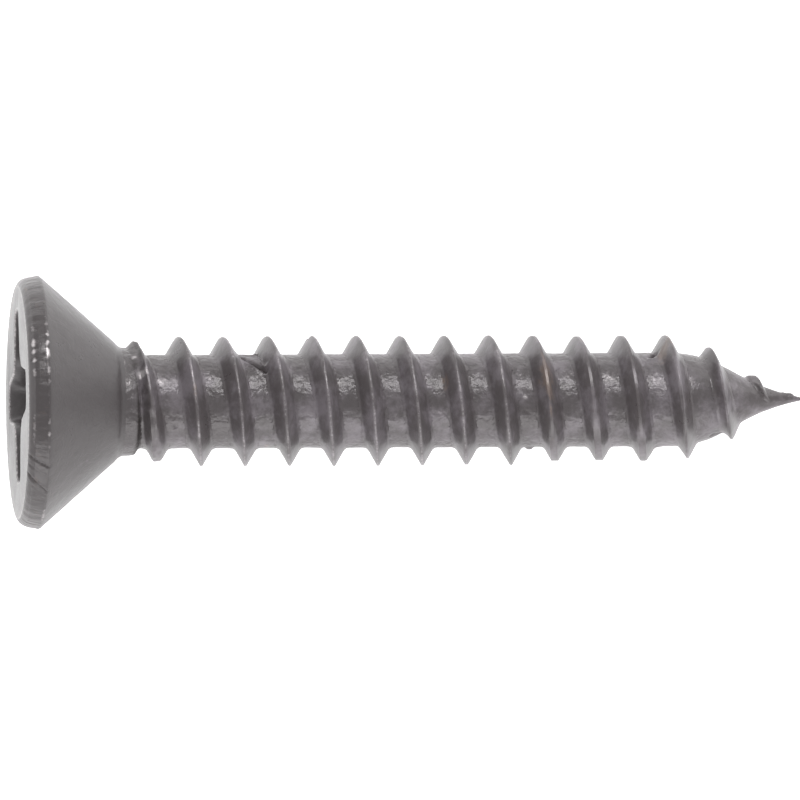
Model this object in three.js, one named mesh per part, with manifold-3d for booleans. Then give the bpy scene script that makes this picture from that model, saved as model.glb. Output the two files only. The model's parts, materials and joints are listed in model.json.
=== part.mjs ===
// A countersunk wood screw with a cross recess, threaded from the neck to a gimlet point.
// Millimetres, +Z up. The screw lies on the plane z = 0 as it does on a table: the edge of the head and
// the last full crest of the thread touch the plane. +X runs from the head to the point.
//
// The real screw is one piece of steel wire with a forged head and a rolled thread. Its formed zones are
// separate solids here, and they meet face to face: head, neck, shank core, thread ridge and point core.
// Each zone is shaped about its own +Y axis, which starts at the middle of the head's flat face, and two
// nested groups turn that axis to +X and lay the screw down.
import * as THREE from "three";
import { mergeVertices } from "three/addons/utils/BufferGeometryUtils.js";
import Module from "manifold-3d";

// Overall
const LENGTH = 25.1; // a one-inch screw at the short end of its tolerance
const TURN_STEPS = 36; // flat sides on every round shape, and thread sections in one turn
const deg = THREE.MathUtils.degToRad;

// Head
const HEAD_RADIUS = 4.03;
const FACE_RADIUS = 3.66; // the flat face inside the rounded rim
const SHOULDER_RADIUS = 3.94; // where the rounding meets the rim's outer wall
const SHOULDER_AT = 0.2;
const SHOULDER_STEPS = 3;
const RIM_AT = 0.64; // the sharp edge between the rim and the countersink
const COUNTERSINK_HALF_ANGLE = deg(41.5);

// Cross recess
const RECESS_HALF_SPAN = 2.75; // from the axis to the end of a wing, at the face
const WING_END_HALF_WIDTH = 0.6;
const WING_ROOT_HALF_WIDTH = 0.8;
const WING_ROOT_CHAMFER = 0.5; // between one wing and the next
const WING_CORNER_RADIUS = 0.22;
const RECESS_TURN = deg(5); // the upper wing leans this far towards +Y
const RECESS_ASIDE = 0.2; // the recess is struck this far off the axis, towards +Y
const RECESS_DEPTH = 2.2; // to the foot of the wings
const RECESS_END_TAPER = deg(26.5); // the wings' ends lean in towards the axis
const RECESS_SIDE_DRAFT = deg(5.75); // the wings' sides lean in
const RECESS_FLOOR_DROP = 0.35; // the pointed floor goes on this far below the wings' foot
const RECESS_STEPS = 4;

// Neck
const NECK_RADIUS = 1.73;
const NECK_TAPER_AT = 3.35; // where the neck starts to narrow to the thread's root
const NECK_END = 3.75;

// Shank and point: the core's radius at distances from the face, straight between them
const CORE_RADIUS = 1.49;
const POINT_START = 20.9;
const POINT_PROFILE = [
  [POINT_START, CORE_RADIUS],
  [22.2, 1.24],
  [23.5, 0.52],
  [24.3, 0.25],
  [LENGTH, 0.04],
];
const CORE_PROFILE = [[NECK_TAPER_AT, NECK_RADIUS], [NECK_END, CORE_RADIUS], ...POINT_PROFILE];

// Thread
const CREST_RADIUS = 2.08;
const PITCH = 25.4 / 18; // eighteen threads to the inch
const FLANK_HALF_ANGLE = deg(30);
const CREST_WIDTH = 0.1;
const CREST_PHASE = 1.28; // the crest passes straight above the axis here, and every pitch after
const FULL_RIDGE = CREST_RADIUS - CORE_RADIUS;
const FULL_RIDGE_END = 20.6; // the crest starts to come down before the core does
// The ridge's height above the core along the screw: it grows out of the neck in about one and a half
// turns, and dies away on the point.
const RIDGE_PROFILE = [
  [3.5, 0.05],
  [3.8, 0.38],
  [4.4, 0.42],
  [5.6, FULL_RIDGE],
  [FULL_RIDGE_END, FULL_RIDGE],
  [21.3, 0.45],
  [22.7, 0.39],
  [23.4, 0.24],
  [24.4, 0.05],
];

const countersinkEnd = RIM_AT + (HEAD_RADIUS - NECK_RADIUS) / Math.tan(COUNTERSINK_HALF_ANGLE);

// A closed solid of revolution about +Y from [radius, along] pairs that start and end on the axis.
function turned(profile) {
  return new THREE.LatheGeometry(
    profile.map(([radius, along]) => new THREE.Vector2(radius, along)),
    TURN_STEPS,
  );
}

// Points on a quarter of an ellipse that leaves one [radius, along] pair along the radius and reaches the
// other along the axis.
function quarter([r0, a0], [r1, a1], steps) {
  return Array.from({ length: steps }, (_, i) => {
    const angle = ((i + 1) / steps) * (Math.PI / 2);
    return [r0 + (r1 - r0) * Math.sin(angle), a0 + (a1 - a0) * (1 - Math.cos(angle))];
  });
}

// The outline of the cross recess at one depth, as a closed shape.
function crossShape(depth) {
  const drawIn = depth * Math.tan(RECESS_SIDE_DRAFT);
  const span = RECESS_HALF_SPAN - depth * Math.tan(RECESS_END_TAPER);
  const end = WING_END_HALF_WIDTH - drawIn;
  const root = WING_ROOT_HALF_WIDTH - drawIn;
  const corner = WING_CORNER_RADIUS;
  const middle = new THREE.Vector2(0, 0);
  const aside = new THREE.Vector2(-RECESS_ASIDE, 0);
  const shape = new THREE.Shape();
  for (let wing = 0; wing < 4; wing++) {
    const turn = RECESS_TURN + (wing * Math.PI) / 2;
    const at = (x, y) => new THREE.Vector2(x, y).rotateAround(middle, turn).add(aside);
    const points = [
      at(root + WING_ROOT_CHAMFER, -root),
      at(span - corner, -end),
      at(span, corner - end),
      at(span, end - corner),
      at(span - corner, end),
      at(root + WING_ROOT_CHAMFER, root),
    ];
    if (wing === 0) shape.moveTo(points[0].x, points[0].y);
    for (const point of points.slice(wing === 0 ? 1 : 0)) shape.lineTo(point.x, point.y);
  }
  return shape.getPoints();
}

// The cutter for the recess: rings of the cross outline, closed by a flat lid above the face and a
// pointed floor.
function recessCutter() {
  const lift = 0.2; // the lid stands this far above the face
  const depths = [-lift];
  for (let i = 0; i <= RECESS_STEPS; i++) depths.push((i / RECESS_STEPS) * RECESS_DEPTH);
  const rings = depths.map((depth) => crossShape(Math.max(depth, 0)));
  const count = rings[0].length;
  const positions = [];
  rings.forEach((ring, i) => ring.forEach((p) => positions.push(p.x, depths[i], p.y)));
  const lid = rings.length * count;
  positions.push(-RECESS_ASIDE, -lift, 0, -RECESS_ASIDE, RECESS_DEPTH + RECESS_FLOOR_DROP, 0);
  const faces = [];
  const last = (rings.length - 1) * count;
  for (let k = 0; k < count; k++) {
    const next = (k + 1) % count;
    for (let ring = 0; ring < last; ring += count) {
      faces.push(ring + k, ring + count + k, ring + count + next);
      faces.push(ring + k, ring + count + next, ring + next);
    }
    faces.push(lid, k, next);
    faces.push(lid + 1, last + next, last + k);
  }
  const geometry = new THREE.BufferGeometry();
  geometry.setAttribute("position", new THREE.Float32BufferAttribute(positions, 3));
  geometry.setIndex(faces);
  return geometry;
}

// A value read from [along, value] pairs, straight between them and steady beyond the ends.
function valueAt(profile, along) {
  const after = profile.findIndex(([at]) => at > along);
  if (after === 0) return profile[0][1];
  if (after < 0) return profile[profile.length - 1][1];
  const [[from, first], [to, second]] = [profile[after - 1], profile[after]];
  return THREE.MathUtils.lerp(first, second, (along - from) / (to - from));
}

// The edge of the core that lies nearest to a place along the screw.
function nearestEdge(along) {
  const edges = CORE_PROFILE.map(([at]) => at);
  return edges.reduce((best, at) => (Math.abs(at - along) < Math.abs(best - along) ? at : best));
}

// The thread ridge: five-cornered sections that follow the helix and stand on the core's flat sides.
function threadRidge() {
  const [start] = RIDGE_PROFILE[0];
  const [end] = RIDGE_PROFILE[RIDGE_PROFILE.length - 1];
  const first = Math.ceil(((start - CREST_PHASE) / PITCH) * TURN_STEPS);
  const last = Math.floor(((end - CREST_PHASE) / PITCH) * TURN_STEPS);
  const positions = [];
  const put = (radius, along, angle) =>
    positions.push(radius * Math.sin(angle), along, radius * Math.cos(angle));
  for (let step = first; step <= last; step++) {
    const angle = (step / TURN_STEPS) * 2 * Math.PI;
    const crest = CREST_PHASE + (step / TURN_STEPS) * PITCH;
    const height = valueAt(RIDGE_PROFILE, crest);
    const halfCrest = CREST_WIDTH / 2;
    const halfBase = halfCrest + height * Math.tan(FLANK_HALF_ANGLE);
    const [near, far] = [crest - halfBase, crest + halfBase];
    // The middle corner of the foot sits on an edge of the core when the ridge crosses one, so that the
    // foot follows the core on both sides of that edge.
    const middle = THREE.MathUtils.clamp(nearestEdge(crest), near + halfCrest, far - halfCrest);
    const crestRadius = valueAt(CORE_PROFILE, crest) + height;
    put(valueAt(CORE_PROFILE, near), near, angle);
    put(crestRadius, crest - halfCrest, angle);
    put(crestRadius, crest + halfCrest, angle);
    put(valueAt(CORE_PROFILE, far), far, angle);
    put(valueAt(CORE_PROFILE, middle), middle, angle);
  }
  const corners = 5;
  const faces = [];
  const lastRing = (last - first) * corners;
  for (let ring = 0; ring < lastRing; ring += corners)
    for (let k = 0; k < corners; k++) {
      const next = (k + 1) % corners;
      faces.push(ring + k, ring + corners + k, ring + corners + next);
      faces.push(ring + k, ring + corners + next, ring + next);
    }
  for (let k = 1; k < corners - 1; k++) {
    faces.push(0, k, k + 1);
    faces.push(lastRing, lastRing + k + 1, lastRing + k);
  }
  const geometry = new THREE.BufferGeometry();
  geometry.setAttribute("position", new THREE.Float32BufferAttribute(positions, 3));
  geometry.setIndex(faces);
  return geometry;
}

const wasm = await Module();
wasm.setup();

// A closed geometry as a solid that can be cut.
function solidOf(geometry) {
  const bare = geometry.clone();
  bare.deleteAttribute("normal");
  bare.deleteAttribute("uv");
  const merged = mergeVertices(bare);
  return new wasm.Manifold(
    new wasm.Mesh({
      numProp: 3,
      vertProperties: new Float32Array(merged.attributes.position.array),
      triVerts: new Uint32Array(merged.index.array),
    }),
  );
}

// A solid as a geometry with flat-shaded faces.
function geometryOf(solid) {
  const mesh = solid.getMesh();
  const geometry = new THREE.BufferGeometry();
  geometry.setAttribute("position", new THREE.BufferAttribute(mesh.vertProperties, 3));
  geometry.setIndex(new THREE.BufferAttribute(mesh.triVerts, 1));
  return geometry;
}

// The head: flat face, rounded rim and countersink, with the cross recess cut out.
function head() {
  const blank = turned([
    [0, 0],
    [FACE_RADIUS, 0],
    ...quarter([FACE_RADIUS, 0], [SHOULDER_RADIUS, SHOULDER_AT], SHOULDER_STEPS),
    [HEAD_RADIUS, RIM_AT],
    [NECK_RADIUS, countersinkEnd],
    [0, countersinkEnd],
  ]);
  return geometryOf(solidOf(blank).subtract(solidOf(recessCutter())));
}

// The short plain neck under the head, which narrows to the thread's root.
function neck() {
  return turned([
    [0, countersinkEnd],
    [NECK_RADIUS, countersinkEnd],
    [NECK_RADIUS, NECK_TAPER_AT],
    [CORE_RADIUS, NECK_END],
    [0, NECK_END],
  ]);
}

// The plain cylinder inside the thread.
function shankCore() {
  return turned([
    [0, NECK_END],
    [CORE_RADIUS, NECK_END],
    [CORE_RADIUS, POINT_START],
    [0, POINT_START],
  ]);
}

// The tapered core inside the thread's last turns, with a very small flat tip.
function pointCore() {
  const outline = POINT_PROFILE.map(([along, radius]) => [radius, along]);
  return turned([[0, POINT_START], ...outline, [0, LENGTH]]);
}

// A satin, dark grey coating over the steel.
function coatedSteel(lightness) {
  return new THREE.MeshStandardMaterial({
    color: new THREE.Color(lightness, lightness * 0.98, lightness * 1.02),
    roughness: 0.45,
    metalness: 0.8,
  });
}

function zone(name, geometry, lightness) {
  const mesh = new THREE.Mesh(geometry, coatedSteel(lightness));
  mesh.name = name;
  return mesh;
}

// The last crest of full height that passes straight under the axis when the screw lies down.
const underAxis = CREST_PHASE + PITCH / 2;
const lastFullTurn = Math.floor((FULL_RIDGE_END - underAxis) / PITCH);
const restingCrest = underAxis + lastFullTurn * PITCH;

// The screw dips towards its point by this angle, because the head is thicker than the thread.
const dip = Math.atan2(HEAD_RADIUS - CREST_RADIUS, restingCrest - RIM_AT);

const alongX = new THREE.Group();
alongX.rotation.z = -Math.PI / 2;
alongX.add(
  zone("head", head(), 0.42),
  zone("neck", neck(), 0.4),
  zone("shank_core", shankCore(), 0.38),
  zone("thread_ridge", threadRidge(), 0.4),
  zone("point_core", pointCore(), 0.4),
);

const laidDown = new THREE.Group();
laidDown.rotation.y = dip;
laidDown.add(alongX);

const screw = new THREE.Group();
screw.add(laidDown);

// Stand the lowest point on z = 0, with the middle of the box above the origin.
const box = new THREE.Box3().setFromObject(screw, true);
const middle = box.getCenter(new THREE.Vector3());
laidDown.position.set(-middle.x, -middle.y, -box.min.z);
screw.updateMatrixWorld(true);

export default screw;
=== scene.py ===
"""A countersunk wood screw, lying on a pale floor under soft studio light."""

import json
import math

import bpy
from mathutils import Matrix, Vector, noise


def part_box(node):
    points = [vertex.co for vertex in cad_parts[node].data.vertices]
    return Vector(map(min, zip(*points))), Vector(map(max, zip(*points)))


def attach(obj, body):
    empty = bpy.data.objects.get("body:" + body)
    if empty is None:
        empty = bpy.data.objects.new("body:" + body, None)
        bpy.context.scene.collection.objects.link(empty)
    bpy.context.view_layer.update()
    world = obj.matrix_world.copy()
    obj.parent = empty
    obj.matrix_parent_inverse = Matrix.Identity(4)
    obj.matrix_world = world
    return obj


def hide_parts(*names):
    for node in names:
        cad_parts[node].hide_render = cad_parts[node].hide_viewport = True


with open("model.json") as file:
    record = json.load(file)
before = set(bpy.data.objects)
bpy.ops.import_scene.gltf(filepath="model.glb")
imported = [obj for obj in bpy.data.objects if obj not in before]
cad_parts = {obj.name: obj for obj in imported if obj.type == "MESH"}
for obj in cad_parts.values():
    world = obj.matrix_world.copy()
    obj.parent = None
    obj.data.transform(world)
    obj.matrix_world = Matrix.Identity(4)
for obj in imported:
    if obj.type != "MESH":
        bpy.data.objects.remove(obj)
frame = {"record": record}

bl_info = {
    "name": "Wood Screw",
    "version": (1, 0, 0),
    "blender": (4, 5, 0),
    "location": "View3D > Sidebar > Screw",
    "description": "Models a countersunk wood screw zone by zone, with its coating, floor and lights",
    "category": "Add Mesh",
}

MM = 0.001
TURN = 2 * math.pi
TOUCHING = 1e-7
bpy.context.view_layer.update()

# The outlines below are in millimetres along the screw, from the head's flat face. The head's shoulder
# and rim are given by how far they lie inside its full radius, and the others by their radius.
SHOULDER_INSETS = ((0.0, 0.37), (0.012, 0.31), (0.04, 0.245), (0.1, 0.175), (0.19, 0.11), (0.32, 0.062))
RIM_INSETS = ((0.46, 0.035), (0.57, 0.018), (0.61, 0.0), (0.66, 0.0), (0.695, 0.022))
HEAD_FILLET = ((3.06, 1.93), (3.14, 1.84), (3.21, 1.78), (3.3, 1.735))
NECK_OUTLINE = (
    (3.3, 1.735),
    (3.42, 1.72),
    (3.55, 1.715),
    (3.66, 1.705),
    (3.72, 1.67),
    (3.77, 1.59),
    (3.83, 1.515),
    (3.9, 1.49),
)
POINT_OUTLINE = (
    (20.9, 1.49),
    (21.25, 1.455),
    (21.65, 1.385),
    (22.1, 1.25),
    (22.5, 1.06),
    (22.9, 0.85),
    (23.3, 0.64),
    (23.7, 0.45),
    (24.1, 0.3),
    (24.5, 0.175),
    (24.8, 0.1),
    (25.0, 0.055),
    (25.09, 0.02),
    (25.1, 0.0),
)

# The cross recess, in millimetres: how far its wings reach, the half-widths of a wing and of the middle
# at the face, how far its middle is off the axis, and the depths at which its section is drawn.
RECESS_REACH = 2.75
RECESS_WING_HALF = 0.6
RECESS_MIDDLE_HALF = 0.8
RECESS_ASIDE = 0.2
RECESS_LID = -0.3
RECESS_DEPTHS = (0.4, 1.0, 1.6, 2.2)
RECESS_TIP = 0.35
RECESS_MOUTH_ROUND = 0.085
RECESS_TURN = math.radians(5)
RECESS_SIDE_DRAFT = math.radians(5.75)
RECESS_END_SLOPE = math.radians(26.5)
# The points of a wing's rounded corner, as insets from its end and from its side, the middle point of
# the fillet between two wings, and where that fillet meets a wing's side.
RECESS_CORNER = ((0.2, 0.0), (0.06, 0.12), (0.0, 0.3))
RECESS_FILLET_MIDDLE = (0.24, 0.2)
RECESS_FILLET_END = 0.5

# The section of the thread's ridge in millimetres, how deep its foot is sunk in the core, and the turns
# over which the roughness of the ridge's start fades.
FLANK_ANGLE = math.radians(30)
CREST_HALF_WIDTH = 0.026
ROOT_FILLET = 0.2
FOOT_DEPTH = 0.08
FIRST_TURNS = (1.9, 2.6)

# The thread's ridge: its height above the core along the screw.
RIDGE_HEIGHTS = (
    (3.45, 0.03),
    (3.6, 0.2),
    (3.75, 0.32),
    (4.1, 0.48),
    (4.4, 0.58),
    (20.5, 0.595),
    (21.3, 0.46),
    (21.9, 0.42),
    (22.7, 0.4),
    (23.1, 0.32),
    (23.5, 0.34),
    (23.62, 0.25),
    (23.78, 0.08),
    (23.95, 0.0),
)

# Places where rolling or wear left the thread's crest short, as (turn, spread in turns, loss in mm).
CREST_LOSSES = (
    (2.25, 0.26, 0.17),
    (5.727, 0.014, 0.13),
    (9.3, 0.12, 0.03),
    (12.0, 1.3, 0.045),
    (11.23, 0.16, 0.1),
    (12.24, 0.2, 0.1),
    (13.25, 0.18, 0.1),
    (15.76, 0.1, 0.13),
)

# Folds and scratches in the surface. Each runs between two places, given as the distance along the
# screw in millimetres and the turn round its axis, and has a half-width, a depth and the height of
# the lip beside it, in millimetres.
CREASES = (
    ((7.04, -0.187), (7.84, -0.104), 0.055, 0.11, 0.045),
    ((7.08, -0.228), (7.62, -0.215), 0.045, 0.07, 0.03),
    ((7.62, -0.215), (7.84, -0.135), 0.045, 0.035, 0.05),
    ((20.17, -0.178), (20.36, -0.205), 0.075, 0.1, 0.04),
    ((22.12, 0.185), (22.4, 0.215), 0.06, 0.08, 0.0),
    ((15.05, -0.212), (15.4, -0.205), 0.04, 0.05, 0.02),
    ((18.2, 0.075), (18.32, 0.08), 0.03, 0.04, 0.02),
    ((18.22, 0.1), (18.34, 0.1), 0.025, 0.03, 0.0),
    ((4.85, 0.09), (4.93, 0.09), 0.05, 0.05, 0.0),
    ((9.6, 0.42), (10.3, 0.47), 0.05, 0.06, 0.03),
    ((13.1, 0.55), (13.5, 0.62), 0.05, 0.06, 0.02),
    ((6.0, 0.6), (6.5, 0.57), 0.04, 0.05, 0.02),
)
RIM_CREASES = (
    ((0.02, 0.0725), (0.66, 0.0855), 0.04, 0.035, 0.012),
    ((0.05, 0.0865), (0.6, 0.0985), 0.035, 0.02, 0.008),
    ((0.03, 0.1015), (0.62, 0.125), 0.05, 0.045, 0.014),
    ((0.2, 0.118), (0.6, 0.132), 0.03, 0.018, 0.006),
    ((0.1, -0.055), (0.5, -0.062), 0.035, 0.03, 0.01),
    ((0.05, 0.33), (0.6, 0.345), 0.045, 0.035, 0.01),
    ((0.1, 0.52), (0.55, 0.505), 0.04, 0.03, 0.01),
    ((0.05, 0.7), (0.5, 0.712), 0.04, 0.03, 0.01),
)

# The radius at which creases run round the rim, in millimetres, and the turn on the rim's key-lit side
# where a highlight is painted over its chips.
RIM_RADIUS = 4.0
RIM_GLINT_TURN = -0.07

# Burrs standing on the core, as (along, turn, reach in mm, height in mm).
BURRS = (
    (16.33, 0.25, 0.12, 0.085),
    (20.35, 0.255, 0.2, 0.03),
    (24.68, -0.25, 0.1, 0.06),
    (24.5, -0.24, 0.1, 0.03),
    (12.2, 0.6, 0.12, 0.04),
)

# Painted highlights: spots painted bright where glints fall on the key-lit side of the neck and shank, as
# (along, turn, reach in mm, strength).
PAINTED_GLINT_SPOTS = (
    (3.22, -0.13, 0.16, 0.75),
    (3.36, -0.06, 0.18, 0.6),
    (3.62, -0.15, 0.12, 0.75),
    (3.86, -0.085, 0.22, 0.65),
    (4.45, -0.07, 0.3, 0.5),
    (6.06, -0.09, 0.28, 0.45),
    (7.26, -0.07, 0.28, 0.4),
    (8.56, -0.057, 0.2, 0.45),
    (10.16, -0.055, 0.28, 0.45),
    (11.47, -0.06, 0.2, 0.4),
    (12.88, -0.08, 0.2, 0.45),
    (14.55, -0.09, 0.22, 0.4),
    (15.92, -0.083, 0.2, 0.45),
    (16.06, -0.01, 0.1, 0.7),
    (17.45, -0.09, 0.28, 0.45),
    (18.75, -0.08, 0.34, 0.5),
    (20.25, -0.075, 0.34, 0.42),
    (21.35, -0.07, 0.25, 0.45),
)

# Places with a faint brown bloom, as (along, turn, reach in mm, spread in turns).
BLOOMS = (
    (16.75, 0.93, 0.35, 0.1),
    (20.55, 0.82, 0.3, 0.06),
    (0.42, 0.02, 0.12, 0.02),
    (13.5, 0.94, 0.2, 0.04),
    (5.5, 0.97, 0.15, 0.03),
    (7.9, 0.2, 0.12, 0.03),
)
BLOOM_STRENGTH = 0.75

# A fold's effect ends this many of its half-widths away, and a burr's or a spot's within this many
# reaches.
FAR_OFF = 5
SPOT_END = 3

# Faces that meet at less than this angle are shaded as one surface.
SMOOTH_ANGLE = math.radians(38)

# The dimmer cap of the light dome leans to the far side of the screw, and fades between two angles.
DIM_CAP_TILT = math.radians(20)
DIM_CAP_EDGES = (math.radians(70), math.radians(45))
CAMERA_PLACE = (-0.15 * MM, 0.02 * MM, 300 * MM)
FLOOR_DROP = 0.01 * MM


def table_value(table, at):
    """The value in (place, value) pairs at a place, straight between them and steady beyond them."""
    if at <= table[0][0]:
        return table[0][1]
    for (start, first), (end, second) in zip(table, table[1:]):
        if at <= end:
            return first + (second - first) * (at - start) / (end - start)
    return table[-1][1]


def smooth(low, high, value):
    """A smooth rise from 0 at low to 1 at high."""
    t = min(1.0, max(0.0, (value - low) / (high - low)))
    return t * t * (3 - 2 * t)


def near(value, middle, spread, power=2):
    """A smooth bump of height 1 where the value is at its middle."""
    return math.exp(-(((value - middle) / spread) ** power))


def turns_from(turn, place):
    """The turn past a place round the axis, from -0.5 to 0.5."""
    return (turn - place + 0.5) % 1.0 - 0.5


def wander(*place):
    """A random value from about -1 to 1 that changes smoothly with place."""
    return noise.noise(Vector(place))


class ScrewSizes(bpy.types.PropertyGroup):
    """The screw's main sizes."""

    length: bpy.props.FloatProperty(
        name="Length",
        description="From the head's flat face to the tip",
        default=25.1 * MM,
        unit="LENGTH",
    )
    head_radius: bpy.props.FloatProperty(
        name="Head radius",
        description="At the sharp edge of the head",
        default=4.03 * MM,
        unit="LENGTH",
    )
    rim_height: bpy.props.FloatProperty(
        name="Rim height",
        description="From the flat face to the sharp edge",
        default=0.64 * MM,
        unit="LENGTH",
    )
    core_radius: bpy.props.FloatProperty(
        name="Core radius",
        description="Between the turns of the thread",
        default=1.49 * MM,
        unit="LENGTH",
    )
    crest_radius: bpy.props.FloatProperty(
        name="Crest radius",
        description="Of the thread's crest",
        default=2.08 * MM,
        unit="LENGTH",
    )
    pitch: bpy.props.FloatProperty(
        name="Pitch",
        description="From one turn of the thread to the next, with 18 turns to the inch",
        default=25.4 / 18 * MM,
        unit="LENGTH",
    )
    crest_start: bpy.props.FloatProperty(
        name="Crest start",
        description="Where the line of the crest is first straight above the axis",
        default=1.28 * MM,
        unit="LENGTH",
    )
    thread_steps: bpy.props.IntProperty(
        name="Thread steps",
        description="Sections of the thread in one turn",
        default=144,
        min=24,
    )
    round_steps: bpy.props.IntProperty(
        name="Round steps",
        description="Sides of the turned shapes",
        default=192,
        min=24,
    )


class ScrewFinish(bpy.types.PropertyGroup):
    """The coating's colours and gloss."""

    coat: bpy.props.FloatVectorProperty(
        name="Coat",
        description="Dark grey coating",
        subtype="COLOR",
        size=3,
        default=(0.077, 0.068, 0.07),
    )
    coat_light: bpy.props.FloatVectorProperty(
        name="Light coat",
        description="Where the coating is thin",
        subtype="COLOR",
        size=3,
        default=(0.15, 0.134, 0.146),
    )
    # Also the colour of the painted highlight spots and of the rim's painted highlight.
    bare: bpy.props.FloatVectorProperty(
        name="Bare steel",
        description="Steel worn bare on edges",
        subtype="COLOR",
        size=3,
        default=(0.5, 0.47, 0.475),
    )
    # Also the colour of painted shade in the recess, the folds and the neck's step.
    grime_and_shade: bpy.props.FloatVectorProperty(
        name="Grime",
        description="Dark scale in folds and roots",
        subtype="COLOR",
        size=3,
        default=(0.028, 0.023, 0.022),
    )
    rust: bpy.props.FloatVectorProperty(
        name="Rust",
        description="Faint brown bloom",
        subtype="COLOR",
        size=3,
        default=(0.17, 0.12, 0.092),
    )
    gloss: bpy.props.FloatProperty(
        name="Roughness",
        description="Of the sound coating",
        subtype="FACTOR",
        default=0.32,
        min=0.0,
        max=1.0,
    )


class ScrewStage(bpy.types.PropertyGroup):
    """Floor, light and camera."""

    floor: bpy.props.FloatVectorProperty(
        name="Floor",
        description="Pale floor",
        subtype="COLOR",
        size=3,
        default=(0.93, 0.93, 0.93),
    )
    dome: bpy.props.FloatProperty(
        name="Dome",
        description="Strength of the light all round",
        default=1.12,
        min=0.0,
    )
    overhead: bpy.props.FloatProperty(
        name="Overhead",
        description="Share of the dome's strength in its dimmer cap",
        subtype="FACTOR",
        default=0.5,
        min=0.0,
    )
    key: bpy.props.FloatProperty(
        name="Key light",
        description="Brightness of the key panel",
        default=8.5,
        min=0.0,
    )
    far: bpy.props.FloatProperty(
        name="Point light",
        description="Brightness of the panel past the point",
        default=1.5,
        min=0.0,
    )
    sides: bpy.props.FloatProperty(
        name="Side light",
        description="Brightness of the near side panel",
        default=2.3,
        min=0.0,
    )
    view_width: bpy.props.FloatProperty(
        name="View width",
        description="Width that the camera takes in",
        default=25.41 * MM,
        unit="LENGTH",
    )
    view_roll: bpy.props.FloatProperty(
        name="View roll",
        description="Turn of the camera about its own line of sight",
        default=math.radians(-0.25),
        unit="ROTATION",
    )


def sizes():
    """The scene's settings for the screw's sizes."""
    return bpy.context.scene.screw_sizes


def screw_place():
    """The matrix that lays the upright-on-X screw down on the edge of its head and a crest."""
    head_low, head_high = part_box("head")
    tip_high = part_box("point_core")[1]
    mount = frame["record"]["mounts"][0]
    dip = math.atan2(mount["axis"][2], -mount["axis"][0])
    size = sizes()
    centre = Vector((
        tip_high.x - size.length * math.cos(dip),
        0.0,
        (head_low.z + head_high.z) / 2 + size.rim_height * math.sin(dip),
    ))
    return Matrix.Translation(centre) @ Matrix.Rotation(dip, 4, "Y")


# ---------------------------------------------------------------- shader writing


class Wire:
    """An output socket that takes part in sums like a number."""

    def __init__(self, paint, socket):
        self.paint = paint
        self.socket = socket

    def math(self, operation, *values):
        return self.paint.node("ShaderNodeMath", {"operation": operation}, dict(enumerate(values)))

    def __add__(self, other):
        return self.math("ADD", self, other)

    def __radd__(self, other):
        return self.math("ADD", other, self)

    def __sub__(self, other):
        return self.math("SUBTRACT", self, other)

    def __rsub__(self, other):
        return self.math("SUBTRACT", other, self)

    def __mul__(self, other):
        return self.math("MULTIPLY", self, other)

    def __rmul__(self, other):
        return self.math("MULTIPLY", other, self)

    def __abs__(self):
        return self.math("ABSOLUTE", self)


class NodeWriter:
    """Adds nodes to a tree and joins their sockets."""

    def __init__(self, tree):
        self.tree = tree

    def node(self, kind, settings, sockets, output=0):
        """Adds a node, sets its settings and then its sockets, and gives one of its outputs."""
        made = self.tree.nodes.new(kind)
        for name, value in settings.items():
            setattr(made, name, value)
        for name, value in sockets.items():
            self.join(value, made.inputs[name])
        return Wire(self, made.outputs[output])

    def join(self, value, socket):
        if isinstance(value, Wire):
            self.tree.links.new(value.socket, socket)
        elif socket.type == "RGBA" and len(value) == 3:
            socket.default_value = (*value, 1.0)
        else:
            socket.default_value = value

    def rise(self, value, low, high, start=0.0, end=1.0):
        """A smooth change from start where the value is low to end where it is high."""
        return self.node(
            "ShaderNodeMapRange",
            {"interpolation_type": "SMOOTHSTEP"},
            {"Value": value, "From Min": low, "From Max": high, "To Min": start, "To Max": end},
        )


class Paint(NodeWriter):
    """A material being written, with its places measured in millimetres from the head's face."""

    def __init__(self, name):
        self.material = bpy.data.materials.new(name)
        self.material.use_nodes = True
        super().__init__(self.material.node_tree)
        self.shader = self.tree.nodes["Principled BSDF"]
        place = screw_place()
        self.place = self.node(
            "ShaderNodeMapping",
            {"vector_type": "TEXTURE"},
            {
                "Vector": self.node("ShaderNodeTexCoord", {}, {}, "Object"),
                "Location": place.to_translation(),
                "Rotation": place.to_euler(),
                "Scale": (MM, MM, MM),
            },
        )
        self.along, self.across, self.up = (
            self.node("ShaderNodeSeparateXYZ", {}, {"Vector": self.place}, axis) for axis in "XYZ"
        )
        self.turn = self.across.math("ARCTAN2", self.across * -1.0, self.up) * (1 / TURN)

    def noise(self, scale, detail=3.0, rough=0.55, at=None, swirl=0.0):
        """Noise from 0 to 1, with scale in features per millimetre."""
        return self.node(
            "ShaderNodeTexNoise",
            {},
            {
                "Vector": at or self.place,
                "Scale": scale,
                "Detail": detail,
                "Roughness": rough,
                "Distortion": swirl,
            },
        )

    def mix(self, factor, first, second):
        """A colour between two colours."""
        return self.node(
            "ShaderNodeMix",
            {"data_type": "RGBA"},
            {0: factor, 6: first, 7: second},
            2,
        )

    def mark(self, name):
        """A number that the modelling left on the piece's points."""
        return self.node("ShaderNodeAttribute", {"attribute_name": name}, {}, "Fac")


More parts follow.
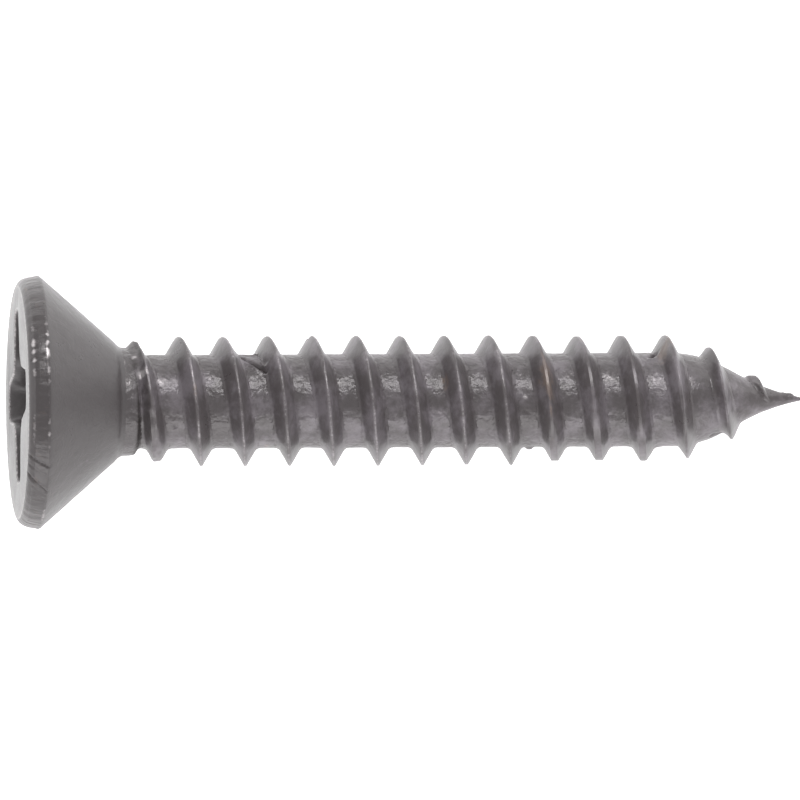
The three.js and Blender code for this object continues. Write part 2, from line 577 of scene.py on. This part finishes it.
def coated_steel(name, dents_mm, wrinkles_mm, scores_mm=0.0, shade_darkening=0.0):
    """The dark grey coating over formed steel: mottled, pitted and wrinkled, brightened where marked by
    wear and by painted highlights, and darkened where marked by grime and by painted shade.

    The depths are those of the small dents, of the creases between them, and of the scores that run
    along the rim of the head where it was sheared. A coating given shade darkening is painted darker all
    over, as painted shade, and is more even.
    """
    paint = Paint(name)
    finish = bpy.context.scene.screw_finish
    cloud = paint.noise(0.9, 4.0)
    grain = paint.noise(9.0, 3.0, 0.65)
    dents = paint.noise(3.4, 2.0, 0.45, swirl=0.4)
    pits = paint.noise(7.0, 2.0, 0.5)
    folds = paint.noise(1.9, 3.0, 0.5, swirl=1.4)
    wrinkles = paint.rise(abs(folds - 0.5), 0.0, 0.05)
    shift = (grain - 0.5) * 0.5

    thin = paint.rise(cloud + shift * 0.5 + (dents - 0.4) * 0.25 - shade_darkening, 0.42, 0.74)
    # Brightened where marked, by wear and by painted highlights.
    brightened = paint.rise(paint.mark("wear_and_glint") + shift * 1.7 + (cloud - 0.5) * 0.5, 0.3, 1.0)
    # Darkened where marked, by grime and by painted shade in the recess, the folds and the neck's step.
    darkened = paint.rise(paint.mark("grime_and_shade") + shift * 0.8 + (folds - 0.5) * 0.4, 0.38, 0.82)
    bloom = paint.rise(paint.mark("stain") + shift + (folds - 0.5) * 1.2, 0.4, 0.85)

    # The coating is painted darker all over by the shade darkening, as painted shade.
    coat = tuple(part * (1 - shade_darkening) for part in finish.coat)
    colour = paint.mix(thin, coat, tuple(finish.coat_light))
    colour = paint.mix(bloom * 0.45, colour, tuple(finish.rust))
    colour = paint.mix(darkened, colour, tuple(finish.grime_and_shade))
    colour = paint.mix(brightened, colour, tuple(finish.bare))
    paint.join(colour, paint.shader.inputs["Base Color"])
    paint.join(brightened * 0.7 + 0.15, paint.shader.inputs["Metallic"])
    paint.join(
        finish.gloss + shift * 0.2 + (cloud - 0.5) * 0.2 + darkened * 0.25,
        paint.shader.inputs["Roughness"],
    )

    height = dents * dents_mm + pits * (dents_mm * 0.35) + wrinkles * wrinkles_mm
    height = height + grain * (dents_mm * 0.06)
    if scores_mm:
        lengthwise = paint.node(
            "ShaderNodeCombineXYZ", {}, {"X": paint.turn * 110.0, "Y": paint.along * 0.9, "Z": 0.0}
        )
        scores = paint.noise(1.0, 2.0, 0.5, at=lengthwise)
        height = height + scores * paint.mark("scored") * scores_mm
    bump = paint.node("ShaderNodeBump", {}, {"Height": height, "Distance": MM, "Strength": 1.0})
    paint.join(bump, paint.shader.inputs["Normal"])
    return paint.material


# ---------------------------------------------------------------- modelling tools


class Editing:
    """Edit mode on the active object, with nothing selected unless the selection is kept."""

    def __init__(self, keep=False):
        self.keep = keep

    def __enter__(self):
        bpy.ops.object.mode_set(mode="EDIT")
        if not self.keep:
            bpy.ops.mesh.select_mode(type="VERT")
            bpy.ops.mesh.select_all(action="DESELECT")

    def __exit__(self, *failure):
        bpy.ops.object.mode_set(mode="OBJECT")


def pick(obj, wanted):
    """Selects the vertices of obj whose place passes a test, and the edges between them."""
    mesh = obj.data
    for face in mesh.polygons:
        face.select = False
    for edge in mesh.edges:
        edge.select = False
    for point in mesh.vertices:
        point.select = wanted(point.co)
    for edge in mesh.edges:
        edge.select = all(mesh.vertices[i].select for i in edge.vertices)


def drawn_outline(name, outline, closed=False):
    """A line of edges through (along, radius) pairs in millimetres, drawn above the screw's axis."""
    bpy.ops.object.select_all(action="DESELECT")
    bpy.ops.mesh.primitive_plane_add(size=0.1 * MM)
    obj = bpy.context.object
    obj.name = obj.data.name = name
    points = [Vector((along, 0.0, radius)) * MM for along, radius in outline]
    with Editing():
        # The small plane, merged to one point, is the start of the line.
        bpy.ops.mesh.select_all(action="SELECT")
        bpy.ops.mesh.merge(type="CENTER")
        bpy.ops.transform.translate(value=points[0])
        for here, there in zip(points, points[1:]):
            bpy.ops.mesh.extrude_vertices_move(TRANSFORM_OT_translate={"value": there - here})
    if closed:
        ends = (points[0], points[-1])
        pick(obj, lambda co: min((co - end).length for end in ends) < TOUCHING)
        with Editing(keep=True):
            bpy.ops.mesh.edge_face_add()
    return obj


def spun(name, outline, steps):
    """A closed turned solid from its outline, which may start or end off the axis."""
    obj = drawn_outline(name, outline)
    with Editing():
        bpy.ops.mesh.select_all(action="SELECT")
        bpy.ops.mesh.spin(steps=steps, angle=TURN, center=(0, 0, 0), axis=(1, 0, 0))
        bpy.ops.mesh.select_all(action="SELECT")
        bpy.ops.mesh.remove_doubles(threshold=5 * TOUCHING)
        bpy.ops.mesh.fill_holes(sides=0)
        bpy.ops.mesh.select_all(action="SELECT")
        bpy.ops.mesh.normals_make_consistent(inside=False)
    return obj


def stretched(outline, step):
    """The outline with more points, at most a step apart."""
    finer = [outline[0]]
    for (a0, r0), (a1, r1) in zip(outline, outline[1:]):
        parts = max(1, math.ceil(math.hypot(a1 - a0, r1 - r0) / step))
        finer += [(a0 + (a1 - a0) * i / parts, r0 + (r1 - r0) * i / parts) for i in range(1, parts + 1)]
    return finer


def curved(outline, step):
    """Points on a smooth curve through the outline, at most about a step apart."""
    points = [Vector((*pair, 0.0)) for pair in outline]
    points = [points[0] * 2 - points[1], *points, points[-1] * 2 - points[-2]]
    result = [outline[0]]
    for before, start, end, after in zip(points, points[1:], points[2:], points[3:]):
        parts = max(1, math.ceil((end - start).length / step))
        for i in range(1, parts + 1):
            t = i / parts
            place = 0.5 * (
                2 * start
                + (end - before) * t
                + (2 * before - 5 * start + 4 * end - after) * t * t
                + (3 * start - before - 3 * end + after) * t * t * t
            )
            result.append((place.x, max(0.0, place.y)))
    return result


def turn_of(co):
    """How far round the axis a point is, in turns: 0 straight up and 0.25 to the right of the run."""
    return math.atan2(-co.y, co.z) / TURN


def roundabout(along, radius, turn):
    """The place at a distance along, a radius and a turn."""
    return Vector((along, -radius * math.sin(turn * TURN), radius * math.cos(turn * TURN)))


def unevenness(co):
    """How far the rolled or forged surface stands off its true shape here, in metres."""
    place = co / MM
    slow = wander(*(place * 0.8))
    quick = wander(*(place * 2.6 + Vector((7.1, 3.3, 1.9))))
    start_of_thread = smooth(3.35, 3.6, place.x) * (1 - smooth(4.2, 5.2, place.x))
    return (slow * 0.011 + quick * (0.008 + 0.022 * start_of_thread)) * MM


def crease_lift(creases, along, turn, radius):
    """How far folds and scratches raise or sink a place on a round surface, in millimetres."""
    lift = 0.0
    for (a0, t0), (a1, t1), half_width, depth, lip in creases:
        reach = FAR_OFF * half_width
        if not min(a0, a1) - reach < along < max(a0, a1) + reach:
            continue
        aside = turns_from(turn, t0) * TURN * radius
        run = Vector((a1 - a0, (t1 - t0) * TURN * radius))
        here = Vector((along - a0, aside))
        share = min(1.0, max(0.0, here.dot(run) / run.length_squared))
        gap = (here - run * share).length / half_width
        if gap > FAR_OFF:
            continue
        beside = run.x * here.y - run.y * here.x > 0
        lift -= depth * near(gap, 0.0, 1.0)
        lift += lip * near(gap, 2.0, 1.0) * beside
    return lift


def write_marks(obj, marks):
    """Leaves the named numbers on the piece's points, for its material to read."""
    for name, values in marks.items():
        layer = obj.data.attributes.new(name, "FLOAT", "POINT")
        layer.data.foreach_set("value", values)


def finish_piece(obj, material, *nodes):
    """Lays a piece down with the screw, shades it and puts it in place of its solids."""
    bpy.ops.object.select_all(action="DESELECT")
    obj.select_set(True)
    bpy.context.view_layer.objects.active = obj
    obj.matrix_world = screw_place()
    bpy.ops.object.transform_apply(location=True, rotation=True, scale=True)
    bpy.ops.object.shade_smooth_by_angle(angle=SMOOTH_ANGLE)
    obj.data.materials.clear()
    obj.data.materials.append(material)
    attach(obj, "root")
    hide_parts(*nodes)


def stains_at(co):
    """Where a faint brown bloom sits on the shank, from 0 to 1."""
    along, turn = co.x / MM, turn_of(co)
    strongest = 0.0
    for at, round_at, reach, spread in BLOOMS:
        aside = turns_from(turn, round_at)
        strongest = max(strongest, near(along, at, reach) * near(aside, 0.0, spread))
    return strongest * BLOOM_STRENGTH


# ---------------------------------------------------------------- the pieces


def recess_outline(depth):
    """The corners of the cross recess at one depth, in millimetres across the head."""
    inward = depth * math.tan(RECESS_SIDE_DRAFT)
    span = RECESS_REACH - depth * math.tan(RECESS_END_SLOPE)
    end = RECESS_WING_HALF - inward
    root = RECESS_MIDDLE_HALF - inward
    side_start = root + RECESS_FILLET_END
    out, across = RECESS_FILLET_MIDDLE
    corner = [(span - back, inset - end) for back, inset in RECESS_CORNER]
    mirrored = [(far, -aside) for far, aside in reversed(corner)]
    wing = [(root + out, -root - across), (side_start, -root), *corner, *mirrored, (side_start, root)]
    middle = Vector((RECESS_ASIDE, 0.0))
    points = []
    for quarter in range(4):
        turned = Matrix.Rotation(quarter * math.pi / 2 - RECESS_TURN, 2)
        points += [turned @ Vector(pair) + middle for pair in wing]
    return points


def recess_cutter():
    """The shape of the driver's tip: a tapered cross with a pointed end."""
    corners = recess_outline(RECESS_LID)
    bpy.ops.object.select_all(action="DESELECT")
    bpy.ops.mesh.primitive_circle_add(vertices=len(corners), radius=RECESS_REACH * MM, fill_type="NGON")
    cutter = bpy.context.object
    for point, corner in zip(cutter.data.vertices, corners):
        point.co = Vector((RECESS_LID, corner.x, corner.y)) * MM
    for depth in RECESS_DEPTHS:
        with Editing():
            bpy.ops.mesh.select_mode(type="FACE")
        newest = max(cutter.data.polygons, key=lambda face: (len(face.vertices) > 4, face.index))
        newest.select = True
        with Editing(keep=True):
            bpy.ops.mesh.extrude_region()
        deeper = recess_outline(depth)
        for point in cutter.data.vertices:
            if point.select:
                here = Vector((point.co.y, point.co.z)) / MM
                nearest = min(range(len(corners)), key=lambda i: (corners[i] - here).length)
                point.co = Vector((depth, deeper[nearest].x, deeper[nearest].y)) * MM
        corners = deeper
    with Editing(keep=True):
        bpy.ops.mesh.poke(offset=RECESS_TIP * MM)
        bpy.ops.mesh.select_all(action="SELECT")
        bpy.ops.mesh.normals_make_consistent(inside=False)
    return cutter


class SCREW_OT_head(bpy.types.Operator):
    """Model the countersunk head with its rounded rim and cross recess"""

    bl_idname = "screw.head"
    bl_label = "Head"

    def execute(self, context):
        size = sizes()
        full = size.head_radius / MM
        shoulder = [(along, full - inset) for along, inset in SHOULDER_INSETS]
        rim = [(along, full - inset) for along, inset in RIM_INSETS]
        outline = (
            curved(shoulder, step=0.04)
            + stretched((shoulder[-1], *rim), step=0.05)[1:]
            + stretched((rim[-1], *HEAD_FILLET), step=0.12)[1:]
        )
        head = spun("screw_head", outline, 3 * size.round_steps)
        cutter = recess_cutter()
        bpy.ops.object.select_all(action="DESELECT")
        context.view_layer.objects.active = head
        head.select_set(True)
        bpy.ops.object.modifier_add(type="BOOLEAN")
        cut = head.modifiers[-1]
        cut.operation = "DIFFERENCE"
        cut.solver = "MANIFOLD"
        cut.object = cutter
        bpy.ops.object.modifier_apply(modifier=cut.name)
        bpy.data.objects.remove(cutter)
        self.round_mouth(head)
        self.roughen(head, outline)
        # The head's coating is painted darker all over, as painted shade that dims it under the lights.
        coating = coated_steel(
            "coated_head", dents_mm=0.008, wrinkles_mm=0.002, scores_mm=0.03, shade_darkening=0.25
        )
        finish_piece(head, coating, "head")
        return {"FINISHED"}

    def round_mouth(self, head):
        """Rounds the edges where the recess opens in the face."""
        widest = (RECESS_REACH + RECESS_ASIDE + 0.25) * MM
        pick(head, lambda co: abs(co.x) < TOUCHING and math.hypot(co.y, co.z) < widest)
        with Editing(keep=True):
            bpy.ops.mesh.select_mode(type="EDGE")
            bpy.ops.mesh.bevel(offset=RECESS_MOUTH_ROUND * MM, segments=4, affect="EDGES")

    def roughen(self, head, outline):
        """Works the sheared rim and leaves its marks: wear and a painted highlight on the edges, painted
        shade in the recess and the scratches, and a dark line beside the shoulder.
        """
        marks = {"wear_and_glint": [], "grime_and_shade": [], "stain": [], "scored": []}
        for point in head.data.vertices:
            co = point.co
            along, radius, turn = co.x / MM, math.hypot(co.y, co.z) / MM, turn_of(co)
            # A point that lies well under the outer skin is on the wall of the recess.
            skin = table_value(outline, along)
            inside = along > 0.005 and radius < skin - 0.08
            on_rim = smooth(3.6, 3.8, radius) * (1 - smooth(0.62, 0.75, along)) * (not inside)
            crease = crease_lift(RIM_CREASES, along, turn, RIM_RADIUS) if radius > 3.6 else 0.0
            if radius > 3.5 and not inside:
                chips = wander(along * 1.5, turn * 90.0, 4.0)
                waves = wander(0.0, turn * 26.0, 9.0)
                lift = ((chips * 0.016 + waves * 0.014 + crease) * on_rim) * MM
                co = co + Vector((0.0, co.y, co.z)) / (radius * MM) * lift
            if not inside and along > 0.6:
                out = Vector((0.0, co.y, co.z)).normalized()
                co = co + out * unevenness(co) * smooth(0.6, 0.9, along)
            point.co = co
            marks["wear_and_glint"].append(self.wear_and_glint(along, radius, turn, inside))
            marks["grime_and_shade"].append(self.grime_and_shade(along, radius, turn, inside, crease))
            marks["stain"].append(0.3 * on_rim)
            sheared = smooth(0.14, 0.22, along) * (1 - smooth(0.58, 0.66, along))
            marks["scored"].append(sheared * (not inside))
        write_marks(head, marks)

    def wear_and_glint(self, along, radius, turn, inside):
        """How far the coating is worn off along the mouth of the recess and the rim's two edges, with a
        highlight painted on the rim's key-lit side.
        """
        if inside:
            return 0.6 * (1 - smooth(0.03, 0.1, along))
        if radius < 3.3 and along < 0.2:
            return 0.6 * (along > 0.002)
        # A highlight painted over the chips on the rim's key-lit side.
        rim_glint = near(turns_from(turn, RIM_GLINT_TURN), 0.0, 0.045)
        wear_and_glint_patches = max(rim_glint, 0.7 * smooth(0.1, 0.5, wander(turn * 14.0, 3.0, 5.0)))
        band = smooth(0.1, 0.2, along) * (1 - smooth(0.55, 0.65, along))
        chips = smooth(-0.45, 0.3, wander(turn * 110.0, along * 2.0, 2.0))
        face_edge = near(radius, 3.69, 0.05) * (along < 0.05)
        shoulder = near(along, 0.17, 0.08) * wear_and_glint_patches * chips
        rim_edge = near(along, 0.64, 0.07) * (0.35 + wear_and_glint_patches * chips)
        return min(0.85, 0.62 * face_edge + 0.6 * shoulder + 0.6 * rim_edge + 0.35 * band * rim_glint * chips)

    def grime_and_shade(self, along, radius, turn, inside, crease):
        """How much darker the coating is painted: painted shade deep in the recess and in the scratches,
        and a dark line beside the shoulder.
        """
        # Painted shade, darker towards the bottom of the recess.
        if inside:
            return 0.25 + 0.5 * smooth(0.15, 0.9, along)
        under_edge = 0.3 * near(along, 0.09, 0.03) * (radius > 3.3)
        # The scratches take painted shade by their depth.
        return max(0.0, under_edge - 16 * crease)


class SCREW_OT_neck(bpy.types.Operator):
    """Model the plain neck, which steps down to the root of the thread"""

    bl_idname = "screw.neck"
    bl_label = "Neck"

    def execute(self, context):
        outline = [(NECK_OUTLINE[0][0], 0.0), *curved(NECK_OUTLINE, step=0.03), (NECK_OUTLINE[-1][0], 0.0)]
        neck = spun("screw_neck", outline, sizes().round_steps)
        settle_surface(neck)
        # The neck's coating is painted somewhat darker all over, as painted shade.
        coating = coated_steel("coated_neck", dents_mm=0.06, wrinkles_mm=0.004, shade_darkening=0.12)
        finish_piece(neck, coating, "neck")
        return {"FINISHED"}


class SCREW_OT_shank(bpy.types.Operator):
    """Model the core of the shank, with its folds and burrs"""

    bl_idname = "screw.shank"
    bl_label = "Shank"

    def execute(self, context):
        start, end = NECK_OUTLINE[-1][0], POINT_OUTLINE[0][0]
        radius = sizes().core_radius / MM
        outline = [(start, 0.0), *stretched(((start, radius), (end, radius)), step=0.045), (end, 0.0)]
        shank = spun("screw_shank", outline, sizes().round_steps)
        settle_surface(shank)
        finish_piece(shank, coated_steel("coated_shank", dents_mm=0.05, wrinkles_mm=0.001), "shank_core")
        return {"FINISHED"}


class SCREW_OT_point(bpy.types.Operator):
    """Model the tapered core of the gimlet point"""

    bl_idname = "screw.point"
    bl_label = "Point"

    def execute(self, context):
        outline = [(POINT_OUTLINE[0][0], 0.0), *curved(POINT_OUTLINE, step=0.045)]
        point = spun("screw_point", outline, sizes().round_steps)
        settle_surface(point)
        finish_piece(point, coated_steel("coated_point", dents_mm=0.035, wrinkles_mm=0.001), "point_core")
        return {"FINISHED"}


def surface_lift(along, turn, radius):
    """How far folds and burrs raise or sink the core here, in millimetres."""
    lift = crease_lift(CREASES, along, turn, max(radius, 0.1))
    for at, round_at, reach, height in BURRS:
        if abs(along - at) < SPOT_END * reach:
            aside = turns_from(turn, round_at) * TURN * radius
            lift += height * near(along, at, reach, power=4) * near(aside, 0.0, 1.4 * reach)
    return lift


def painted_glint(along, turn, radius):
    """How strongly the painted highlight spots brighten the core here, where glints fall on its key-lit
    side.
    """
    strongest = 0.0
    for at, round_at, reach, strength in PAINTED_GLINT_SPOTS:
        if abs(along - at) < SPOT_END * reach:
            aside = turns_from(turn, round_at) * TURN * radius
            strongest = max(strongest, strength * near(math.hypot(along - at, aside), 0.0, reach))
    return strongest


def neck_step_shade(along, turn):
    """How much painted shade darkens the groove where the neck steps down to the thread."""
    groove = 3.68 + 0.1 * math.cos((turn - 0.1) * TURN)
    return 0.75 * near(along, groove, 0.2)


def settle_surface(obj):
    """Gives a turned piece its unevenness, folds and burrs, and leaves its marks."""
    marks = {"wear_and_glint": [], "grime_and_shade": [], "stain": []}
    for point in obj.data.vertices:
        co = point.co
        radius = math.hypot(co.y, co.z) / MM
        along, turn = co.x / MM, turn_of(co)
        lift = 0.0
        if radius > 0.03:
            lift = surface_lift(along, turn, radius)
            out = Vector((0.0, co.y, co.z)).normalized()
            point.co = co + out * (unevenness(co) * smooth(0.05, 0.6, radius) + lift * MM)
        # Wear on the raised lips, and painted highlight spots where glints fall.
        marks["wear_and_glint"].append(max(0.0, min(0.4, lift * 6)) + painted_glint(along, turn, radius))
        # Painted shade in the folds by their depth and in the neck's step.
        marks["grime_and_shade"].append(min(1.0, max(0.0, -lift * 8) + neck_step_shade(along, turn)))
        marks["stain"].append(stains_at(co))
    write_marks(obj, marks)


def ridge_outline(size):
    """The section of the full ridge, as (offset from the crest, height above the core) in millimetres."""
    full = (size.crest_radius - size.core_radius) / MM
    slope = math.tan(FLANK_ANGLE)
    start = CREST_HALF_WIDTH + full * slope + ROOT_FILLET * slope
    steps = 4
    right = []
    for i in range(steps + 1):
        angle = 2 * FLANK_ANGLE * i / steps
        right.append((start - ROOT_FILLET * math.sin(angle), ROOT_FILLET * (1 - math.cos(angle))))
    fillet_top = right[-1][1]
    flank_top = full - 0.03
    for i in range(1, steps + 1):
        height = fillet_top + (flank_top - fillet_top) * i / steps
        right.append((CREST_HALF_WIDTH + (full - height) * slope, height))
    right.append((CREST_HALF_WIDTH * 0.7, full - 0.006))
    left = [(-offset, height) for offset, height in right]
    return [*right, (0.0, full), *reversed(left)]


class SCREW_OT_thread(bpy.types.Operator):
    """Model the helical ridge of the thread, from the neck to the tip"""

    bl_idname = "screw.thread"
    bl_label = "Thread"

    def execute(self, context):
        size = sizes()
        core, pitch = size.core_radius / MM, size.pitch / MM
        crest_start = size.crest_start / MM
        section = ridge_outline(size)
        buried = ((section[-1][0], -FOOT_DEPTH), (section[0][0], -FOOT_DEPTH))
        first_turn = math.floor((RIDGE_HEIGHTS[0][0] - crest_start) / pitch)
        turns = math.ceil((RIDGE_HEIGHTS[-1][0] - crest_start) / pitch) - first_turn
        start = crest_start + first_turn * pitch
        outline = [(start + offset, core + height) for offset, height in (*section, *buried)]
        thread = drawn_outline("screw_thread", outline, closed=True)
        bpy.ops.object.modifier_add(type="SCREW")
        wind = thread.modifiers[-1]
        wind.axis = "X"
        wind.screw_offset = size.pitch
        wind.iterations = turns
        wind.steps = wind.render_steps = size.thread_steps
        wind.use_merge_vertices = False
        bpy.ops.object.modifier_apply(modifier=wind.name)
        self.cut_ends(thread)
        self.seat(thread, size)
        with Editing():
            bpy.ops.mesh.select_all(action="SELECT")
            bpy.ops.mesh.fill_holes(sides=0)
            bpy.ops.mesh.select_all(action="SELECT")
            bpy.ops.mesh.normals_make_consistent(inside=False)
        coating = coated_steel("coated_thread", dents_mm=0.01, wrinkles_mm=0.001)
        finish_piece(thread, coating, "thread_ridge")
        return {"FINISHED"}

    def winding(self, co, size):
        """The turn of the ridge that a point belongs to, and its offset from the crest's line."""
        turn = turn_of(co)
        full_turns = round((co.x - size.crest_start) / size.pitch - turn)
        turn += full_turns
        return turn, (co.x - size.crest_start - turn * size.pitch) / MM

    def cut_ends(self, thread):
        """Removes the whole sections of the ridge beyond its two ends."""
        size = sizes()
        low, high = RIDGE_HEIGHTS[0][0] * MM, RIDGE_HEIGHTS[-1][0] * MM

        def beyond(co):
            crest = size.crest_start + self.winding(co, size)[0] * size.pitch
            return crest < low or crest > high

        pick(thread, beyond)
        with Editing(keep=True):
            bpy.ops.mesh.delete(type="VERT")

    def seat(self, thread, size):
        """Seats the ridge on the core all along, with its worn and swollen places, and marks it."""
        core = size.core_radius / MM
        pitch = size.pitch / MM
        full = (size.crest_radius - size.core_radius) / MM
        ground = (*NECK_OUTLINE, *POINT_OUTLINE)
        marks = {"wear_and_glint": [], "grime_and_shade": [], "stain": []}
        for point in thread.data.vertices:
            co = point.co.copy()
            turn, offset = self.winding(co, size)
            crest = size.crest_start / MM + turn * pitch
            height = math.hypot(co.y, co.z) / MM - core
            share = table_value(RIDGE_HEIGHTS, crest) / full
            sway = 0.02 * wander(turn * 3.0, 8.0, 2.0) * smooth(0.1, full, height)
            # A low stretch of the ridge is narrower too, down to a quarter of its full width.
            along = crest + offset * min(1.0, 0.25 + 0.75 * share) + sway
            base, top = table_value(ground, along), table_value(ground, crest)
            # The crest falls short where it is worn, and is ragged, mostly on the first turns.
            loss = sum(short * near(turn, at, spread, power=4) for at, spread, short in CREST_LOSSES)
            ragged = 0.012 * wander(turn * 22.0, 1.5, 0.0) - 0.012
            early = 1 - smooth(*FIRST_TURNS, turn)
            ragged += 0.05 * early * wander(turn * 30.0, offset * 6.0, 7.0)
            # The foot is sunk in the core, and the flanks stand on it.
            if height < 0:
                radius = base - min(FOOT_DEPTH, 0.4 * base)
            else:
                radius = base + (top - base) * smooth(0, full, height) + height * share
            radius = min(radius, top + full * share - loss + ragged)
            at_foot = (1 - smooth(0.2, 0.45, height)) * (height > -0.01)
            lift = surface_lift(along, turn % 1.0, radius) * at_foot
            place = roundabout(along, radius + lift, turn) * MM
            out = Vector((0.0, place.y, place.z)).normalized()
            point.co = place + out * unevenness(place) * smooth(0.1, 1.2, base)
            # The crest is worn bright, less so where it is low and towards the point.
            near_crest = smooth(full * 0.9, full, height)
            brightened = (0.43 - 0.14 * smooth(0.02, 0.08, loss)) * near_crest
            dull = smooth(10.3, 11.0, turn)
            brightened *= (1 - 0.5 * early) * (1 - 0.45 * dull)
            # The first turns also take the painted highlight spots.
            marks["wear_and_glint"].append(brightened + early * painted_glint(along, turn, radius))
            # Painted shade on the head-facing flanks of the first turns and in the folds at the foot; the
            # ridge is also darker past its last turns near the point.
            root = 0.6 * early * (offset < 0) + 0.4 * smooth(15.6, 15.8, turn)
            marks["grime_and_shade"].append(root + max(0.0, -lift * 7))
            marks["stain"].append(stains_at(co) + 0.3 * dull * near_crest)
        write_marks(thread, marks)


# ---------------------------------------------------------------- floor, light and camera


def panel_light(name, place, aim, width, height, brightness):
    """A soft panel of a given brightness, turned to face a point."""
    light = bpy.data.lights.new(name, "AREA")
    light.shape = "RECTANGLE"
    light.size = width
    light.size_y = height
    light.energy = brightness * math.pi * width * height
    lamp = bpy.data.objects.new(name, light)
    bpy.context.scene.collection.objects.link(lamp)
    lamp.location = place
    lamp.rotation_euler = (Vector(aim) - Vector(place)).to_track_quat("-Z", "Y").to_euler()
    lamp.visible_camera = False


class SCREW_OT_stage(bpy.types.Operator):
    """Set out the pale floor, the soft lights and the camera above the screw"""

    bl_idname = "screw.stage"
    bl_label = "Stage"

    def execute(self, context):
        setup = context.scene.screw_stage
        self.floor(setup)
        self.lights(context, setup)
        self.camera(context, setup)
        context.scene.view_settings.view_transform = "Standard"
        return {"FINISHED"}

    def floor(self, setup):
        bpy.ops.object.select_all(action="DESELECT")
        bpy.ops.mesh.primitive_plane_add(size=6.0, location=(0, 0, -FLOOR_DROP))
        floor = bpy.context.object
        floor.name = "floor"
        material = bpy.data.materials.new("pale_floor")
        material.use_nodes = True
        shader = material.node_tree.nodes["Principled BSDF"]
        shader.inputs["Base Color"].default_value = (*setup.floor, 1.0)
        shader.inputs["Roughness"].default_value = 0.9
        shader.inputs["Emission Color"].default_value = (1.0, 1.0, 1.0, 1.0)
        shader.inputs["Emission Strength"].default_value = 0.6
        floor.data.materials.append(material)

    def lights(self, context, setup):
        """A bright dome with a dimmer cap, a key panel beyond the screw and weaker panels round it."""
        world = bpy.data.worlds.new("dome")
        world.use_nodes = True
        sky = NodeWriter(world.node_tree)
        direction = sky.node("ShaderNodeTexCoord", {}, {}, "Generated")
        dim_middle = (0.0, math.sin(DIM_CAP_TILT), math.cos(DIM_CAP_TILT))
        nearness = sky.node(
            "ShaderNodeVectorMath", {"operation": "DOT_PRODUCT"}, {0: direction, 1: dim_middle}, "Value"
        )
        low, high = (math.cos(edge) for edge in DIM_CAP_EDGES)
        glow = sky.rise(nearness, low, high, setup.dome, setup.dome * setup.overhead)
        background = world.node_tree.nodes["Background"]
        sky.join((1.0, 1.0, 1.0), background.inputs["Color"])
        sky.join(glow, background.inputs["Strength"])
        context.scene.world = world
        middle = (0.0, 0.0, 0.003)
        panel_light("key_panel", (0.03, 0.17, 0.182), middle, 0.15, 0.09, setup.key)
        panel_light("far_panel", (0.25, 0.25, 0.07), middle, 0.3, 0.12, setup.far)
        panel_light("near_panel", (0.0, -0.267, 0.136), middle, 0.5, 0.18, setup.sides)
        panel_light("head_panel", (-0.3, 0.08, 0.12), middle, 0.2, 0.15, setup.sides * 0.35)

    def camera(self, context, setup):
        """A camera straight above, without perspective and just wide enough for the screw."""
        camera = bpy.data.cameras.new("camera")
        camera.type = "ORTHO"
        camera.ortho_scale = setup.view_width
        camera.clip_start = 0.01
        camera.clip_end = 3.0
        above = bpy.data.objects.new("camera", camera)
        context.scene.collection.objects.link(above)
        above.location = CAMERA_PLACE
        above.rotation_euler = (0.0, 0.0, setup.view_roll)
        context.scene.camera = above


class SCREW_PT_panel(bpy.types.Panel):
    """Buttons for the screw's pieces, and its settings"""

    bl_label = "Wood Screw"
    bl_idname = "SCREW_PT_panel"
    bl_space_type = "VIEW_3D"
    bl_region_type = "UI"
    bl_category = "Screw"

    def draw(self, context):
        for step in OPERATORS:
            self.layout.operator(step.bl_idname)
        for group in (context.scene.screw_sizes, context.scene.screw_finish, context.scene.screw_stage):
            box = self.layout.box()
            for name in group.bl_rna.properties.keys():
                if name not in ("rna_type", "name"):
                    box.prop(group, name)


OPERATORS = (SCREW_OT_stage, SCREW_OT_head, SCREW_OT_neck, SCREW_OT_shank, SCREW_OT_thread, SCREW_OT_point)
GROUPS = {"screw_sizes": ScrewSizes, "screw_finish": ScrewFinish, "screw_stage": ScrewStage}


def register():
    for made in (*GROUPS.values(), *OPERATORS, SCREW_PT_panel):
        bpy.utils.register_class(made)
    for name, group in GROUPS.items():
        setattr(bpy.types.Scene, name, bpy.props.PointerProperty(type=group))


def unregister():
    for name in GROUPS:
        delattr(bpy.types.Scene, name)
    for made in reversed((*GROUPS.values(), *OPERATORS, SCREW_PT_panel)):
        bpy.utils.unregister_class(made)


def main():
    register()
    for step in OPERATORS:
        group, name = step.bl_idname.split(".")
        getattr(getattr(bpy.ops, group), name)()


if __name__ == "__main__":
    main()
